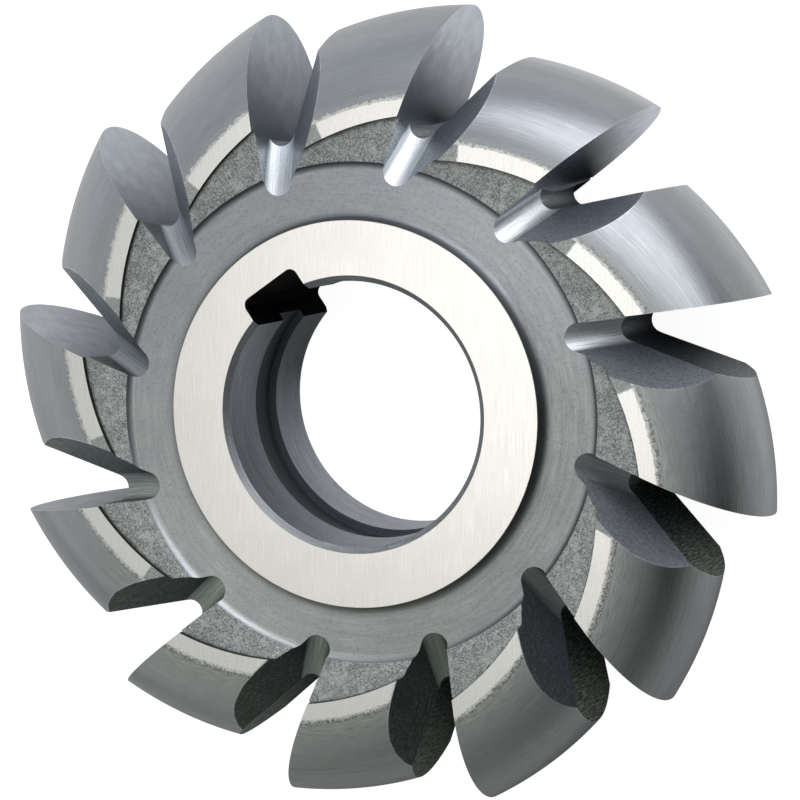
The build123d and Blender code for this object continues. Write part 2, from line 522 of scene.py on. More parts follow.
# %% [markdown]
# The second map says how far a point is from the edges around it. On the form and the flank
# it holds the distance behind the cutting edge and the distance before the heel. On the rake
# face and the heel it holds the depth below the half-circle edge and the height above the
# foot of the ground face.

# %% Map of the edges
def before_plane(mill, shift):
    """The distance to the next gullet's sloped side, which is this tooth's heel.

    In words: the point is turned back by one pitch and counted from where the sides of the
    mill meet. Its distance is then the dot product with the direction square to the side.
    """
    back, opening = radians(PITCH), radians(mill[1])
    ahead = along * cos(back) + across * sin(back) - meeting(*mill) - shift
    over = across * cos(back) - along * sin(back) - mill_wall
    return -(ahead * sin(opening) + over * cos(opening))


behind = (np.radians(turn) - np.arcsin(np.clip(RAKE / radius, -1, 1))) * radius
heel_side = before_plane(CHANNEL, slide) / hypot(1, sin(slope) * CHANNEL_RUN)
edges = np.stack([behind, np.minimum(before_plane(GULLET, 0), heel_side)], axis=-1)

on_gullet = on("ground_rake", "rake_foot", "wall", "channel_wall", "root", "heel",
               "channel_root", "channel_heel")
edge_turn = np.where(on("heel", "channel_heel"), turn + PITCH, turn)
edge_centre = FORM_CENTRE - RELIEF / PITCH * (edge_turn - TIP_ANGLE)
depth = np.where(radius > edge_centre, FORM - np.hypot(radius - edge_centre, z),
                 FLANK_HEIGHT - np.abs(z))
edges[on_gullet, 0] = depth[on_gullet]
edges[on_gullet, 1] = (GRINDING_WHEEL - wheel_reach)[on_gullet]
print("least distance behind the edge on the form:", round(float(edges[on("form"), 0].min()), 3))

for label, values in (("grain", grain), ("edges", edges)):
    layer = mesh.uv_layers.new(name=label, do_init=False)
    layer.uv.foreach_set("vector", values.astype(np.float32).ravel())

# %% [markdown]
# ## Tools for finishes
# Each finish is one material: a Principled shader whose colour, roughness and bump come from
# nodes. It could be linked by hand in the Shader Editor, but a formula is easier to read and
# to change. So an output of a node is kept in a small class, and a sum on outputs, written
# like any sum in Python, makes the Math node for it.

# %% Outputs that can be added and multiplied
class Value:
    """An output of a node. A sum on it is written as for numbers, and makes a Math node."""

    def __init__(self, socket):
        self.socket, self.tree = socket, socket.id_data

    def math(self, operation, *numbers):
        """One Math node on outputs or numbers."""
        return node(self.tree, "Math", 0, dict(enumerate(numbers)), operation=operation)

    def __add__(self, other):
        return self.math("ADD", self, other)

    def __sub__(self, other):
        return self.math("SUBTRACT", self, other)

    def __rsub__(self, number):
        return self.math("SUBTRACT", number, self)

    def __mul__(self, other):
        return self.math("MULTIPLY", self, other)

    def __truediv__(self, other):
        return self.math("DIVIDE", self, other)

    def __rtruediv__(self, number):
        return self.math("DIVIDE", number, self)

    def __abs__(self):
        return self.math("ABSOLUTE", self)


def least(first, second):
    """The smaller of two values."""
    return first.math("MINIMUM", first, second)


def most(first, second):
    """The larger of two values."""
    return first.math("MAXIMUM", first, second)


def put(value, socket):
    """A number or a colour is set on a socket, and the output of another node is linked."""
    if isinstance(value, Value):
        value.tree.links.new(value.socket, socket)
    else:
        socket.default_value = value


def node(tree, kind, output, inputs=(), **settings):
    """A new node with its settings and inputs; what comes back is the output asked for."""
    made = tree.nodes.new("ShaderNode" + kind)
    for name, value in settings.items():
        setattr(made, name, value)
    for key, value in dict(inputs).items():
        put(value, made.inputs[key])
    return Value(made.outputs[output])


# %% [markdown]
# A ramp makes a mask out of a measure, noise makes it uneven, and coats of colour are laid
# over each other through such masks, as wear and scale lie over the steel. Sides of the
# cutter are given as angles from the X axis.

# %% Masks, noise and coats
MIX_FIRST, MIX_SECOND, MIX_COLOUR = 6, 7, 2


def ramp(value, low, high, from_low=0.0, from_high=1.0):
    """A value brought from one range to another, and held inside it."""
    inputs = {"Value": value, "From Min": low, "From Max": high, "To Min": from_low,
              "To Max": from_high}
    return node(value.tree, "MapRange", "Result", inputs)


def noise(place, scale, detail=2.0, rough=0.5):
    """Soft noise around a half, at a scale."""
    inputs = {"Vector": place, "Scale": scale, "Detail": detail, "Roughness": rough}
    return node(place.tree, "TexNoise", "Fac", inputs)


def part(vector, axis):
    """One part of a vector: X, Y or Z."""
    return node(vector.tree, "SeparateXYZ", axis, {"Vector": vector})


def vector_sum(vector, operation, other=(0, 0, 0)):
    """A sum on vectors: a number for a length and a dot product, or else a vector."""
    output = "Value" if operation in ("LENGTH", "DOT_PRODUCT") else "Vector"
    return node(vector.tree, "VectorMath", output, {0: vector, 1: other}, operation=operation)


def toward(place, angle):
    """How far a place lies towards one side of the cutter: its dot product with that side."""
    return vector_sum(place, "DOT_PRODUCT", (cos(radians(angle)), sin(radians(angle)), 0))


def blend(share, first, second):
    """Two colours mixed: the first where the share is 0, the second where it is 1."""
    first, second = (c if isinstance(c, Value) else (*c, 1) for c in (first, second))
    inputs = {0: share, MIX_FIRST: first, MIX_SECOND: second}
    return node(share.tree, "Mix", MIX_COLOUR, inputs, data_type="RGBA")


def coats(colour, *layers):
    """Coats over a colour, one after the other: each has a mask, a strength and a colour."""
    for mask, strength, coat in layers:
        colour = blend(mask * strength, colour, coat)
    return colour


# %% [markdown]
# An effect that several finishes share is a node group with named inputs. The first is the
# marks of a tool: fine lines, a few deeper scratches, and faint bands. In the map of the
# grain they are all the same, noise drawn out along u.

# %% Marks along a cut
def node_group(name, inputs, formula):
    """A node group with named inputs (a default each); the formula says what it puts out."""
    group = bpy.data.node_groups.new(name, "ShaderNodeTree")
    for label, default in inputs.items():
        kind = "NodeSocketVector" if default is None else "NodeSocketFloat"
        socket = group.interface.new_socket(label, in_out="INPUT", socket_type=kind)
        if default is not None:
            socket.default_value = default
    given = group.nodes.new("NodeGroupInput").outputs
    outputs = formula(*(Value(given[label]) for label in inputs))
    for label in outputs:
        group.interface.new_socket(label, in_out="OUTPUT", socket_type="NodeSocketFloat")
    result = group.nodes.new("NodeGroupOutput").inputs
    for label, value in outputs.items():
        put(value, result[label])
    print("node group", name, "puts out", list(outputs))
    return group


def use(group, *inputs):
    """A group placed in a material, with its own inputs; its outputs come back by name."""
    placed = inputs[0].tree.nodes.new("ShaderNodeGroup")
    placed.node_tree = group
    for socket, value in zip(placed.inputs, inputs):
        put(value, socket)
    return {socket.name: Value(socket) for socket in placed.outputs}


def draw_marks(grain_map, length, width, scratch_width):
    """Noise on the map, counted in lengths along u and in widths across."""
    u, v = part(grain_map, "X"), part(grain_map, "Y")

    def drawn_out(length, width, shift, detail=1.0, rough=0.5):
        inputs = {"X": u / length, "Y": v / width, "Z": shift}
        return noise(node(u.tree, "CombineXYZ", "Vector", inputs), 1.0, detail, rough)

    return {"Lines": ramp(drawn_out(length, width, 0.0, 3.0, 0.7), 0.3, 0.7),
            "Scratches": ramp(drawn_out(length, scratch_width, 7.0), 0.64, 0.76),
            "Bands": ramp(drawn_out(length * 4.0, width * 12.0, 13.0), 0.3, 0.7)}


tool_marks = node_group(
    "tool_marks", {"Map": None, "Length": 6.0, "Width": 0.12, "Scratch width": 0.3}, draw_marks)

# %% [markdown]
# Where no wheel touched the steel after hardening, it is grey and grainy: dark pits and light
# specks, and softer clouds where the scale was thicker. One noise makes pits, specks and
# relief, so that a dark pit is also a deep one.

# %% Grains and clouds
def draw_skin(place, size):
    """Fine noise at the size of a grain, and slow noise for the clouds."""
    grains = noise(place, 1.0 / size, 2.0, 0.6)
    return {"Pits": ramp(grains, 0.47, 0.34), "Specks": ramp(grains, 0.54, 0.68),
            "Clouds": ramp(noise(place, 0.22, 3.0, 0.6), 0.32, 0.68),
            "Relief": ramp(grains, 0.25, 0.75)}


hard_skin = node_group("hard_skin", {"Place": None, "Size": 0.3}, draw_skin)

# %% [markdown]
# Along an edge the tool leaves a thin burr, and a painted highlight stands for the light that it
# catches. It is brightest at the edge, and it comes and goes along it.

# %% Bright edges
def draw_edge(place, distance, width):
    """One at the edge, fading to nothing over an uneven width."""
    reach = width * ramp(noise(place, 0.9), 0.35, 0.65, 0.2, 1.3)
    return {"Edge": ramp(abs(distance) / reach, 1.0, 0.4)}


bright_edge = node_group(
    "bright_edge", {"Place": None, "Distance": 1.0, "Width": 0.15}, draw_edge)

# %% [markdown]
# Every finish begins and ends in the same way. Object coordinates are in metres, so they are
# first turned into millimetres. At the end all goes into the shader, and the names of the
# surfaces say where the finish belongs.

# %% How a finish begins and ends
FINISHES = {}
mesh.materials.clear()


def new_material(name):
    """A material, and the place of a point on the piece in millimetres."""
    material = bpy.data.materials.new(name)
    material.use_nodes = True
    inputs = {0: node(material.node_tree, "TexCoord", "Object"), "Scale": 1 / MM}
    return material, node(material.node_tree, "VectorMath", "Vector", inputs, operation="SCALE")


def map_of(place, label):
    """One of the two maps of the cutter."""
    return node(place.tree, "UVMap", "UV", uv_map=label)


def new_steel(name, marks, grain_size):
    """A material with tool marks on the map of the grain, and a skin with grains of a size."""
    material, place = new_material(name)
    marks = use(tool_marks, map_of(place, "grain"), *marks)
    return material, place, marks, use(hard_skin, place, grain_size)


def set_shader(material, settings):
    """Numbers, colours and outputs of nodes go into a material's shader."""
    for label, value in settings.items():
        put(value, material.node_tree.nodes["Principled BSDF"].inputs[label])


def cover(material, names, colour, rough, height, deep):
    """The finish goes into the shader and onto its surfaces.

    Roughness may be two numbers, for the lowest and the highest places. Deep is the depth of
    the relief in millimetres.
    """
    if isinstance(rough, tuple):
        rough = ramp(height, 0, 1, *rough)
    inputs = {"Height": height, "Distance": deep * MM, "Strength": 1.0}
    set_shader(material, {"Base Color": colour, "Roughness": rough, "Metallic": 1.0,
                          "Normal": node(height.tree, "Bump", "Normal", inputs)})
    mesh.materials.append(material)
    for name in names.split():
        FINISHES[CODE[name]] = len(mesh.materials) - 1
    print(material.name, "covers", names)


def draw_out_shine(material, **direction):
    """Bright spots are drawn out square to the marks, which run along a tangent."""
    tangent = node(material.node_tree, "Tangent", "Tangent", **direction)
    set_shader(material, {"Anisotropic": 0.6, "Anisotropic Rotation": 0.25, "Tangent": tangent})


# %% [markdown]
# ## Ground steel
# The hub faces are ground flat on a surface grinder after hardening. They are the brightest
# steel on the cutter, a warm white, with straight fine lines that all run one way.

# %% Hub faces
material, place, marks, skin = new_steel("ground_hub_steel", (5.0, 0.1, 0.16), 0.3)
colour = coats(
    blend(marks["Lines"], (0.822, 0.785, 0.75), (0.925, 0.885, 0.85)),
    (marks["Scratches"], 0.16, (0.52, 0.5, 0.47)),
    (skin["Clouds"], 0.35, (0.765, 0.73, 0.695)))
cover(material, "hub_face hub_edge", colour, (0.34, 0.26), marks["Lines"], 0.003)

# %% [markdown]
# Each flank was ground with the hub, but the wheel only reached a band of it. Towards the
# form the band ends in a ragged line, and it stops short of the heel, where the tooth has
# already fallen away from the wheel. The rest is still the grey of the hardened skin.

# %% Flanks
material, place = new_material("ground_flank_steel")
turned = node(place.tree, "Mapping", "Vector", {"Vector": place, "Rotation": (0, 0, -GRAIN_TURN)})
marks = use(tool_marks, turned, 4.0, 0.12, 0.2)
skin = use(hard_skin, place, 0.18)
inside, before = part(map_of(place, "grain"), "Y"), part(map_of(place, "edges"), "Y")
ragged = noise(place, 2.0, 4.0, 0.8)
outer = inside - ramp(ragged, 0.3, 0.7, -0.45, 0.14)
short = inside * 0.5 + ramp(ragged, 0.3, 0.7, 0.22, 0.36)
heel_gap = before - short * ramp(toward(place, 248.3), 12, 26, 1.0, 0.0)
ground = ramp(outer, 0.0, 0.15) * ramp(heel_gap, 0.0, 0.15)
bright = coats(
    blend(marks["Lines"], (0.722, 0.7, 0.674), (0.84, 0.815, 0.788)),
    (marks["Scratches"], 0.35, (0.5, 0.48, 0.45)),
    (skin["Pits"], 0.25, (0.42, 0.41, 0.39)))
burnt = ramp(outer, 0.2, 0.04) * ramp(noise(place, 3.0), 0.45, 0.6)
grey = coats(
    blend(skin["Specks"], (0.34, 0.355, 0.35), (0.55, 0.565, 0.56)),
    (skin["Pits"], 0.55, (0.17, 0.175, 0.175)),
    (burnt, ramp(heel_gap, 0.1, 0.6), (0.14, 0.14, 0.13)))
height = ground * 2.0 + skin["Relief"] * (1.0 - ground)
colour = blend(ground, grey, bright)
cover(material, "flank", colour, ramp(ground, 0, 1, 0.5, 0.3), height, 0.012)

# %% [markdown]
# ## Turned and rough steel
# The ring groove was turned, hardened, and left as it was: a middling grey with faint rings. Along
# the rims painted shade lies on most sides of the cutter and turns into a painted highlight on one
# side. A painted shadow darkens the foot of the hub wall, and the side towards the top lamp gets a
# painted blue reflection. The rings are noise drawn out round the axis. The place on a ring is
# given by the cosine and the sine of its angle, so no seam shows.

# %% Ring groove
def draw_rings(place, spacing, length):
    """Noise that changes slowly round the axis and quickly along the radius and the height."""
    flat_place = vector_sum(place, "MULTIPLY", (1, 1, 0))
    outwards, often = vector_sum(flat_place, "NORMALIZE"), 30.0 / length
    level = (vector_sum(flat_place, "LENGTH") + part(place, "Z")) / spacing
    inputs = {"X": part(outwards, "X") * often, "Y": part(outwards, "Y") * often, "Z": level}
    ring = node(place.tree, "CombineXYZ", "Vector", inputs)
    return {"Rings": ramp(noise(ring, 1.0), 0.3, 0.7),
            "Fine rings": ramp(noise(ring, 3.1), 0.3, 0.7)}


turned_rings = node_group(
    "turned_rings", {"Place": None, "Spacing": 0.3, "Length": 10.0}, draw_rings)

material, place = new_material("turned_groove_steel")
rings = use(turned_rings, place, 0.5, 9.0)
skin = use(hard_skin, place, 0.3)
low_side = toward(place, 199.8)
rise = abs(part(place, "Z") - MIDDLE) - GROOVE_HEIGHT
# Painted shade along the rims, turning into a painted highlight on one side of the cutter.
painted_side_light = ramp(rise, 0.0, 0.28) * ramp(low_side, 2, 26, 1.0, -0.62)
from_axis = vector_sum(vector_sum(place, "MULTIPLY", (1, 1, 0)), "LENGTH")
# Painted shadow at the foot of the hub wall, deepest on one side of the cutter.
hub_shadow = ramp(from_axis, HUB + 1.7, HUB + 0.3) * ramp(low_side, -20, 20, 0.15, 0.8)
colour = coats(
    blend(rings["Rings"], (0.358, 0.363, 0.356), (0.446, 0.451, 0.441)),
    (skin["Clouds"], 0.55, (0.315, 0.326, 0.335)),
    # Painted reflection: the side towards the top lamp is tinted blue.
    (ramp(toward(place, 64.9), -8, 26), 0.6, (0.358, 0.368, 0.405)),
    (skin["Pits"], 0.3, (0.18, 0.185, 0.19)),
    (most(painted_side_light, 0.0), 1.0, (0.155, 0.167, 0.177)),
    (most(painted_side_light * -1.0, 0.0), 0.9, (0.6, 0.63, 0.67)),
    (hub_shadow, 1.0, (0.15, 0.158, 0.145)))
rough = ramp(rings["Fine rings"], 0, 1, 0.36, 0.48)
height = rings["Fine rings"] + skin["Relief"]
cover(material, "hub_wall inner_corner groove_floor outer_corner", colour, rough, height, 0.006)
draw_out_shine(material, direction_type="RADIAL", axis="Z")

# %% [markdown]
# The web is as coarse as the forging left it, with pits and specks a third of a millimetre across.
# A painted shadow of the step darkens the web along its foot, widest on one side of the cutter.

# %% Rough web
material, place = new_material("rough_web_steel")
web_map = map_of(place, "grain")
skin, fine = use(hard_skin, place, 0.19), use(hard_skin, place, 0.1)
torn = use(tool_marks, web_map, 1.0, 0.13, 0.22)
tear = abs(noise(place, 1.9, 3.0, 0.6) - 0.5)
patch = noise(place, 0.8, 3.0, 0.6)
# Painted shadow of the step: a dark band along its foot, widest on one side of the cutter.
wide = ramp(noise(place, 0.9, 3.0, 0.7), 0.3, 0.7, 0.0, 0.35)
corner = part(web_map, "Y") / (wide + ramp(toward(place, 9.8), 5, 30, 0.1, 0.5))
colour = coats(
    blend(skin["Specks"] * 0.85, (0.47, 0.492, 0.486), (0.82, 0.84, 0.83)),
    (torn["Lines"], 0.35, (0.24, 0.25, 0.245)),
    (torn["Scratches"], 0.55, (0.8, 0.82, 0.82)),
    (skin["Pits"], 0.9, (0.11, 0.115, 0.105)),
    (fine["Pits"], 0.6, (0.18, 0.19, 0.185)),
    (skin["Clouds"], 0.25, (0.34, 0.36, 0.355)),
    (ramp(tear, 0.05, 0.0), 0.7, (0.1, 0.105, 0.095)),
    (ramp(patch, 0.5, 0.68), 0.4, (0.7, 0.72, 0.715)),
    (ramp(corner, 1.0, 0.1), 0.75, (0.08, 0.082, 0.07)))
height = skin["Relief"] + fine["Relief"] + torn["Lines"]
cover(material, "web", colour, ramp(fine["Relief"], 0, 1, 0.5, 0.68), height, 0.014)

# %% [markdown]
# The step from the flank down to the web is under a millimetre high. Its colour is painted nearly
# black as painted shade, the darkest of the turned surfaces, and its skin is the roughest.

# %% Step
material, place = new_material("dark_step_steel")
relief = use(hard_skin, place, 0.26)["Relief"]
# Painted shade: the step is coloured nearly black.
colour = blend(relief, (0.02, 0.021, 0.02), (0.1, 0.105, 0.1))
cover(material, "step", colour, (0.5, 0.7), relief, 0.03)

# %% [markdown]
# ## The relieved form
# The form was turned on a relieving lathe and has a satin shine, slightly blue. The marks
# follow the tooth: short ones, long ones and a few scratches, each a use of the same group.
# They are stronger near the flanks and on one side of the cutter.

# %% Form, from the middle outwards
material, place, marks, skin = new_steel("relieved_form_steel", (5.0, 0.17, 0.5), 0.11)
grain_map, edge_map = map_of(place, "grain"), map_of(place, "edges")
long_marks = use(tool_marks, grain_map, 45.0, 0.24, 0.26)
shine = use(tool_marks, grain_map, 12.0, 0.15, 0.16)
from_middle = abs(part(place, "Z") - MIDDLE)
scored_side = ramp(toward(place, 264.8), -8, 22, 0.15, 1.0)
streaky = ramp(from_middle, 8.0, 11.7) * scored_side
scored = long_marks["Scratches"] * ramp(streaky, 0, 1, 0.15, 0.85)
lighter = ramp(from_middle, 8.5, 11.2) * ramp(scored_side, 0.5, 1.0)
bluish = ramp(from_middle, 7.0, 1.5) * ramp(scored_side, 0.15, 1.0)
mottle = ramp(noise(place, 0.5, 4.0, 0.65), 0.35, 0.65)
smooth = blend(marks["Lines"], (0.35, 0.357, 0.388), (0.422, 0.43, 0.468))
lined = blend(marks["Lines"], (0.3, 0.32, 0.314), (0.526, 0.552, 0.545))
colour = coats(
    blend(scored_side, smooth, lined),
    (long_marks["Lines"], ramp(streaky, 0, 1, 0.15, 0.8), (0.252, 0.267, 0.256)),
    (lighter, 0.6, (0.635, 0.652, 0.632)),
    (bluish, 0.35, (0.41, 0.42, 0.475)),
    (mottle, 0.3, (0.303, 0.313, 0.338)),
    (skin["Relief"], 0.35, (0.26, 0.272, 0.28)),
    (marks["Bands"], 0.25, (0.45, 0.462, 0.482)),
    (scored, 1.0, (0.17, 0.18, 0.178)),
    (shine["Scratches"], ramp(streaky, 0, 1, 0.2, 0.6), (0.66, 0.68, 0.68)))
print("masks and coats so far:", len(place.tree.nodes), "nodes")

# %% [markdown]
# Next to the flank the surface is coarse and scuffed, and the ground band spills over the corner
# here and there. The cutting edge and the heel edge carry a thin painted highlight, read from the
# map of the edges.

# %% Form, next to the flanks and the edges
grit = use(tool_marks, grain_map, 2.6, 0.13, 0.18)
scuffed = coats(
    blend(grit["Lines"], (0.19, 0.198, 0.193), (0.6, 0.615, 0.6)),
    (grit["Scratches"], 1.0, (0.12, 0.125, 0.12)))
scuff = ramp(scored_side, 0.3, 1.0) * ramp(from_middle, 11.2, 11.85)
uneven = ramp(noise(place, 2.4, 4.0, 0.8), 0.3, 0.7, -0.05, 0.05)
coarse = ramp(from_middle + uneven, 11.86, 11.95)
gritty = coats(
    blend(skin["Relief"], (0.16, 0.165, 0.155), (0.6, 0.61, 0.59)),
    (skin["Pits"], 0.7, (0.1, 0.1, 0.09)))
spill = ramp(uneven * 0.7 + from_middle, 11.952, 11.968)
fringe = ramp(from_middle, 11.89, 11.94) * ramp(noise(place, 3.0), 0.48, 0.58)
fringe = least(most(fringe * (scored_side - spill), 0.0), 0.6)
# Painted highlights along the heel edge and the cutting edge.
heel_glint = use(bright_edge, place, part(edge_map, "Y"), 0.1)["Edge"]
edge_glint = use(bright_edge, place, part(edge_map, "X"), 0.07)["Edge"]
colour = coats(
    colour,
    (scuff, 0.8, scuffed),
    (coarse, ramp(scored_side, 0, 1, 0.55, 0.85), gritty),
    (spill, 0.8, (0.72, 0.71, 0.69)),
    (fringe, 1.0, (0.09, 0.09, 0.08)),
    (most(heel_glint, edge_glint), 0.4, (0.8, 0.8, 0.82)))
rough = ramp(marks["Lines"], 0, 1, 0.35, 0.27) + ramp(long_marks["Lines"], 0, 1, -0.04, 0.05)
height = marks["Lines"] * ramp(scored_side, 0, 1, 0.5, 1.0) - scored
height = height + skin["Relief"] * ramp(coarse, 0, 1, 0.25, 1.5)
cover(material, "form", colour, rough + coarse * 0.08, height, 0.009)

# %% [markdown]
# ## Rake faces and gullets
# The rake face is ground last, to sharpen the tooth. Its marks are arcs about the wheel's own
# centre, and a painted highlight follows the cutting edge.

# %% Rake faces
material, place, marks, skin = new_steel("ground_rake_steel", (7.0, 0.14, 0.3), 0.15)
mottle = ramp(noise(place, 0.45, 4.0, 0.7), 0.36, 0.64)
# Painted highlight along the cutting edge.
rim = use(bright_edge, place, part(map_of(place, "edges"), "X"), 0.12)["Edge"]
colour = coats(
    blend(marks["Lines"], (0.45, 0.48, 0.535), (0.56, 0.595, 0.66)),
    (mottle, 0.6, (0.37, 0.395, 0.45)),
    (skin["Relief"], 0.3, (0.4, 0.425, 0.475)),
    (rim, 0.35, (0.85, 0.85, 0.87)))
rough = ramp(marks["Lines"], 0, 1, 0.28, 0.36) + ramp(mottle, 0, 1, -0.03, 0.05)
cover(material, "ground_rake rake_foot", colour, rough, marks["Lines"], 0.004)

# %% [markdown]
# The side channels were milled with a round cutter, whose long marks run down the channel and
# shine where they face the lamp. Their colour is painted bright towards one side of the cutter as
# a painted highlight, and darker towards the other side as painted shade.

# %% Channel roots
# The side towards which the painted shade grows, and the side towards which it turns purple.
SHADED_SIDE, PURPLE_SIDE = 214.9, 296.7
material, place, marks, skin = new_steel("milled_channel_steel", (8.0, 0.18, 0.26), 0.25)
low_side = toward(place, SHADED_SIDE)
# Painted light: a lit colour, a half shaded one and a shaded one, by side of the cutter.
lit_colour = blend(marks["Lines"], (0.6, 0.63, 0.65), (0.92, 0.96, 0.98))
painted_side_light = blend(marks["Lines"], (0.215, 0.228, 0.238), (0.37, 0.388, 0.4))
shaded_colour = blend(marks["Lines"], (0.155, 0.18, 0.16), (0.43, 0.475, 0.44))
colour = coats(
    lit_colour,
    (ramp(low_side, -30, 5), 1.0, painted_side_light),
    (ramp(low_side, 8, 24), 1.0, shaded_colour),
    (skin["Pits"], 0.18, (0.16, 0.16, 0.18)),
    (marks["Scratches"], 0.7, (0.17, 0.18, 0.19)))
cover(material, "channel_root", colour, (0.42, 0.3), marks["Lines"], 0.01)
draw_out_shine(material, direction_type="UV_MAP", uv_map="grain")

# %% [markdown]
# The walls of the channels are painted blue-grey on the lit side of the cutter and nearly black as
# painted shade on the other side, with a painted highlight along the rim at the form.

# %% Channel walls
material, place, marks, skin = new_steel("milled_gullet_steel", (2.2, 0.2, 0.35), 0.3)
low_side = toward(place, SHADED_SIDE)
# Painted light and shade: a lit colour, and a shaded one that turns purple towards one side.
lit_side_colour = blend(marks["Lines"], (0.34, 0.36, 0.387), (0.56, 0.59, 0.632))
shaded_side_colour = blend(marks["Lines"], (0.028, 0.037, 0.028), (0.145, 0.172, 0.143))
purple = blend(marks["Lines"], (0.055, 0.056, 0.075), (0.17, 0.175, 0.22))
shaded_side_colour = coats(shaded_side_colour, (ramp(toward(place, PURPLE_SIDE), 20, 34), 0.6, purple))
# Painted highlight along the rim at the form.
rim = use(bright_edge, place, part(map_of(place, "edges"), "X"), 0.1)["Edge"]
colour = coats(
    blend(ramp(low_side, -30, 30), lit_side_colour, shaded_side_colour),
    (skin["Pits"], 0.4, (0.07, 0.08, 0.08)),
    (skin["Specks"], ramp(low_side, -10, 25, 0.35, 0.2), (0.5, 0.55, 0.58)),
    (rim, 0.28, (0.7, 0.7, 0.73)))
cover(material, "channel_heel channel_wall", colour, (0.46, 0.36), marks["Lines"], 0.012)

# %% [markdown]
# The deep gullets between the channels were milled before hardening and never touched again.
# Their colour is painted darker towards one side of the cutter as painted shade, and there coarse
# streaks of the mill show stronger.

# %% Gullet walls
material, place, marks, skin = new_steel("dark_gullet_steel", (4.5, 0.16, 0.22), 0.22)
# Painted shade towards one side of the cutter, with stronger mill streaks there.
shaded_share = ramp(toward(place, SHADED_SIDE), -25, 5)
streak = ramp(marks["Lines"], 0.35, 0.85)
lit_side_colour = blend(streak, (0.24, 0.26, 0.275), (0.42, 0.45, 0.475))
shaded_side_colour = blend(streak, (0.065, 0.085, 0.065), (0.56, 0.66, 0.54))
colour = coats(
    blend(shaded_share, lit_side_colour, shaded_side_colour),
    (skin["Pits"], 0.5, (0.06, 0.07, 0.06)),
    (marks["Scratches"], ramp(shaded_share, 0, 1, 0.3, 0.85), (0.66, 0.72, 0.64)))
cover(material, "wall root heel", colour, (0.46, 0.34), marks["Lines"], 0.014)

# %% [markdown]
# ## Bore
# The bore was ground round, so its lines run round it. The relief in the middle was only turned,
# and stays dark. The keyway that the broach drew is painted nearly black and not metallic, as
# painted shade inside the slot. These finishes differ in a few numbers only, so one function makes
# them.

# %% Bore, relief and keyway
def bore_finish(name, dark, light, names, rough=0.37, metallic=1.0):
    """A finish with lines round the bore, between a dark and a light steel."""
    material, place, marks, skin = new_steel(name, (9.0, 0.22, 0.22), 0.35)
    colour = coats(
        blend(marks["Lines"], dark, light),
        (skin["Pits"], 0.3, [0.4 * tone for tone in dark]),
        (marks["Bands"], 0.3, light),
        (marks["Scratches"], 0.8, [1.6 * tone for tone in light]))
    cover(material, names, colour, (rough + 0.05, rough - 0.05), marks["Lines"], 0.004)
    gloss = 0.05 if metallic == 0 else 0.5
    set_shader(material, {"Metallic": metallic, "Specular IOR Level": gloss})


bore_finish("ground_bore_steel", (0.24, 0.263, 0.292), (0.45, 0.49, 0.54), "bore_wall")
bore_finish("turned_chamfer_steel", (0.25, 0.262, 0.275), (0.46, 0.475, 0.49),
            "bore_chamfer outside", 0.55)
bore_finish("turned_relief_steel", (0.095, 0.102, 0.114), (0.18, 0.19, 0.21),
            "relief_side relief_wall", 0.62)
# Painted shade: the keyway is coloured nearly black and not metallic.
bore_finish("broached_keyway_steel", (0.001, 0.001, 0.001), (0.004, 0.004, 0.004),
            "key_side key_corner key_floor", 0.6, 0.0)

# %% [markdown]
# Each face has carried the name of its surface through all the cuts, and now the name picks
# the finish. By hand this would mean selecting thousands of faces in Edit Mode. Then the
# dressed cutter takes the place of the CAD model's node.

# %% Give every face its finish
face_surface = read(mesh.attributes["surface"].data, "value", np.int32)
slots = np.vectorize(FINISHES.get)(face_surface).astype(np.int32)
mesh.polygons.foreach_set("material_index", slots)
for label in ("surface", "tooth"):
    mesh.attributes.remove(mesh.attributes[label])
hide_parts("radius_cutter")
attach(cutter, "root")
print("finishes:", [material.name for material in mesh.materials])

# %% [markdown]
# ## Camera
# The photograph was taken with a long lens from above, a little to one side. The camera's
# place and lens were fitted to the rims of the hub and the bore, and the shift of the lens
# sets where the cutter lies in the picture.

# %% Camera
def placed(spot, right, up, out):
    """The matrix of something at a spot, whose own X, Y and Z point in three directions."""
    return Matrix.Translation(spot) @ Matrix((right, up, out)).transposed().to_4x4()


centre = Vector((0, 0, MIDDLE * MM))
stand = Vector((0.12017, -0.03765, 0.3361))
picture_up = Vector((0.57586, 0.81755, 0))
backwards = (stand - centre).normalized()
sideways = picture_up.cross(backwards).normalized()
upwards = backwards.cross(sideways)

camera = bpy.data.objects.new("camera", bpy.data.cameras.new("camera"))
bpy.context.scene.collection.objects.link(camera)
bpy.context.scene.camera = camera
camera.matrix_world = placed(stand, sideways, upwards, backwards)
camera.data.sensor_width = 36
camera.data.lens = 127.04
camera.data.shift_x = 0.01749
camera.data.shift_y = 0.00615
camera.data.clip_start = 0.01
print("camera", round((stand - centre).length, 3), "m from the middle of the cutter")

# %% [markdown]
# ## Floor and light
# The cutter was photographed on white paper, so the floor glows a little for the camera and
# in reflections, and its own colour adds the soft shadow. Bright steel mirrors the paper next
# to it, so the glow that reflections see is darker in the cutter's shadow and changes over
# the floor. The paper lies a hair below the hub.

# %% Floor
bpy.context.scene.view_settings.view_transform = "Standard"
reach, under_hub = 2.0, -0.00002
corners = [(-reach, -reach), (reach, -reach), (reach, reach), (-reach, reach)]
floor_mesh = bpy.data.meshes.new("floor")
floor_mesh.from_pydata([(*corner, under_hub) for corner in corners], [], [(0, 1, 2, 3)])
floor = bpy.data.objects.new("floor", floor_mesh)
bpy.context.scene.collection.objects.link(floor)

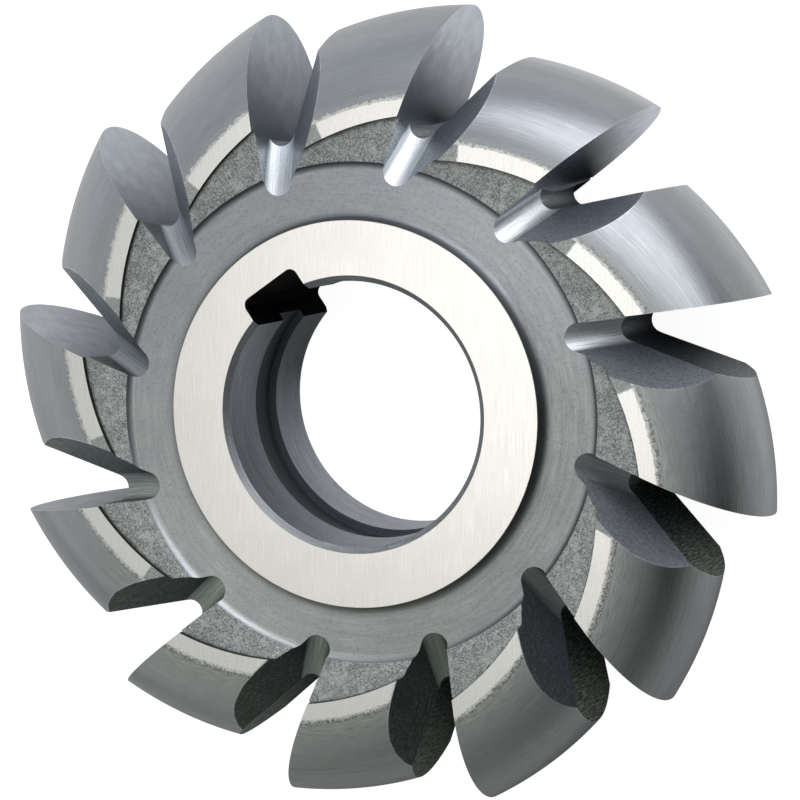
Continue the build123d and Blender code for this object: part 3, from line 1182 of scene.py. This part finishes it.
material, place = new_material("pale_floor")
from_shadow = vector_sum(vector_sum(place, "SUBTRACT", (0, -5.5, 0)), "LENGTH")
near = ramp(toward(place, 49.9), -45, 30, 0.22, 1.15) * ramp(from_shadow, 37.5, 57)
wing_side = toward(place, 99.8)
wings = least(ramp(wing_side, -25, 5, 0.0, 0.75), ramp(wing_side, 12, 30, 0.75, 0.0))
near = near * (wings * ramp(from_shadow, 54, 46) + ramp(wing_side, 24, 34, 1.0, 0.68))
beyond = ramp(toward(place, 69.8), -65, 65, 0.33, 0.83)
under = (beyond - near) * ramp(from_shadow, 54, 70) + near
hole = ramp(vector_sum(place, "LENGTH"), 20, 16) * ramp(toward(place, 224.9), 0, 12, 0.1, 0.6)
glossy = node(place.tree, "LightPath", "Is Glossy Ray")
seen = node(place.tree, "LightPath", "Is Camera Ray")
set_shader(material, {
    "Base Color": blend(glossy, (0.4, 0.4, 0.4), (0.03, 0.03, 0.03)),
    "Emission Strength": most(glossy * (under + hole), seen * 0.94),
    "Emission Color": (1, 1, 1, 1), "Roughness": 0.9, "Specular IOR Level": 0.0})
floor_mesh.materials.append(material)
print("floor", 2 * reach, "m wide")

# %% [markdown]
# Polished steel shows what stands around it, so the lamps are large and soft and stand where
# the bright bands on the teeth say that they stood. Their places are given as seen from the
# camera: an angle away from it, and a bearing on the picture.

# %% Lamps
def seen_at(away, bearing):
    """The direction that lies an angle away from the camera's, at a bearing on the picture."""
    away, bearing = radians(away), radians(bearing)
    return backwards * cos(away) + (sideways * cos(bearing) + upwards * sin(bearing)) * sin(away)


def soft_lamp(name, out, distance, size, size_y, roll, glow, colour):
    """An area lamp facing the cutter. Its glow is the brightness that a mirror would show."""
    data = bpy.data.lights.new(name, "AREA")
    data.shape = "RECTANGLE"
    data.size, data.size_y = size, size_y
    data.energy = glow * pi * size * size_y
    data.color = colour
    lamp = bpy.data.objects.new(name, data)
    bpy.context.scene.collection.objects.link(lamp)
    lean = sideways * cos(radians(roll)) + upwards * sin(radians(roll))
    lean = (lean - out * lean.dot(out)).normalized()
    lamp.matrix_world = placed(centre + out * distance, lean, out.cross(lean), out)
    print(name, "gives", round(data.energy, 2), "W")


soft_lamp("top_softbox", seen_at(36, 84), 0.7, 0.7, 0.6, 20, 1.9, (0.96, 0.98, 1.0))
soft_lamp("left_fill", seen_at(31, 190), 0.34, 0.15, 0.15, 0, 1.15, (1.0, 1.0, 0.99))

# %% [markdown]
# The rest of the studio is a soft glow, greenish from low down and blue from the top. It has
# one dark place, where the photographer stood, and the steel that faces it is dark.

# %% World
world = bpy.data.worlds.new("studio")
bpy.context.scene.world = world
world.use_nodes = True
direction = node(world.node_tree, "TexCoord", "Generated")
from_dark = vector_sum(direction, "DOT_PRODUCT", seen_at(53, 338))
from_top = vector_sum(direction, "DOT_PRODUCT", seen_at(90, 75))
from_low = vector_sum(direction, "DOT_PRODUCT", seen_at(85, 262))
spread = 1.0 - from_dark
glow = most(spread.math("SQRT", spread) * 0.62 - 0.05, 0.005)
background = world.node_tree.nodes["Background"].inputs
put(glow * ramp(from_low, 0.5, 1.0, 1.0, 0.55), background["Strength"])
put(blend(ramp(from_top, -0.7, 0.7), (0.965, 1.0, 0.955), (0.96, 0.985, 1.06)),
    background["Color"])
print("nodes in the world:", len(world.node_tree.nodes))
